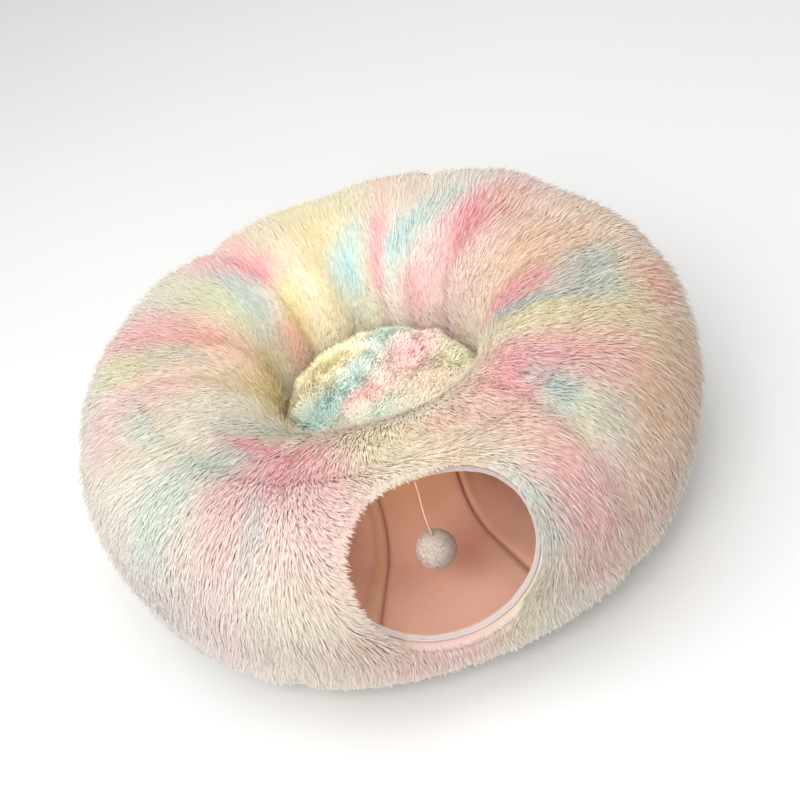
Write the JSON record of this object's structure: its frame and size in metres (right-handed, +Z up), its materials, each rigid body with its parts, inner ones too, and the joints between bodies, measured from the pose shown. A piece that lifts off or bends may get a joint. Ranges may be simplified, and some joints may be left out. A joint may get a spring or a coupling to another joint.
{
  "type": "cat hideaway bed",
  "caption": "Ring-shaped plush tunnel bed for a cat, with one bound round entrance, a filled round cushion in its middle and a pompom hanging inside.",
  "frame": {"origin": "on the floor under the centre of the ring", "axes": "+Z up; the entrance faces -Y; +X to the right as seen from the front"},
  "size_m": [0.7979, 0.7854, 0.264],
  "materials": {
    "peach_plush": "long soft pile, matt",
    "yellow_plush": "long soft pile, matt",
    "pink_plush": "long soft pile, matt",
    "mint_plush": "long soft pile, matt",
    "rose_plush": "long soft pile, matt",
    "cream_plush": "long soft pile, matt",
    "lining_cloth": "smooth woven cloth, matt",
    "binding_tape": "woven tape, slight sheen",
    "cushion_plush": "short curly pile, matt",
    "pompom_yarn": "cut yarn, matt",
    "elastic_string": "braided elastic, matt"
  },
  "bodies": {
    "root": {"plush_panel_front": "peach_plush", "plush_panel_right_front": "yellow_plush", "plush_panel_right_back": "pink_plush", "plush_panel_back": "mint_plush", "plush_panel_left_back": "rose_plush", "plush_panel_left_front": "cream_plush", "lining_panel_front": "lining_cloth", "lining_panel_right_front": "lining_cloth", "lining_panel_right_back": "lining_cloth", "lining_panel_back": "lining_cloth", "lining_panel_left_back": "lining_cloth", "lining_panel_left_front": "lining_cloth", "entrance_binding": "binding_tape", "centre_cushion": "cushion_plush", "pompom": "pompom_yarn", "pompom_string": "elastic_string"}
  },
  "joints": []
}
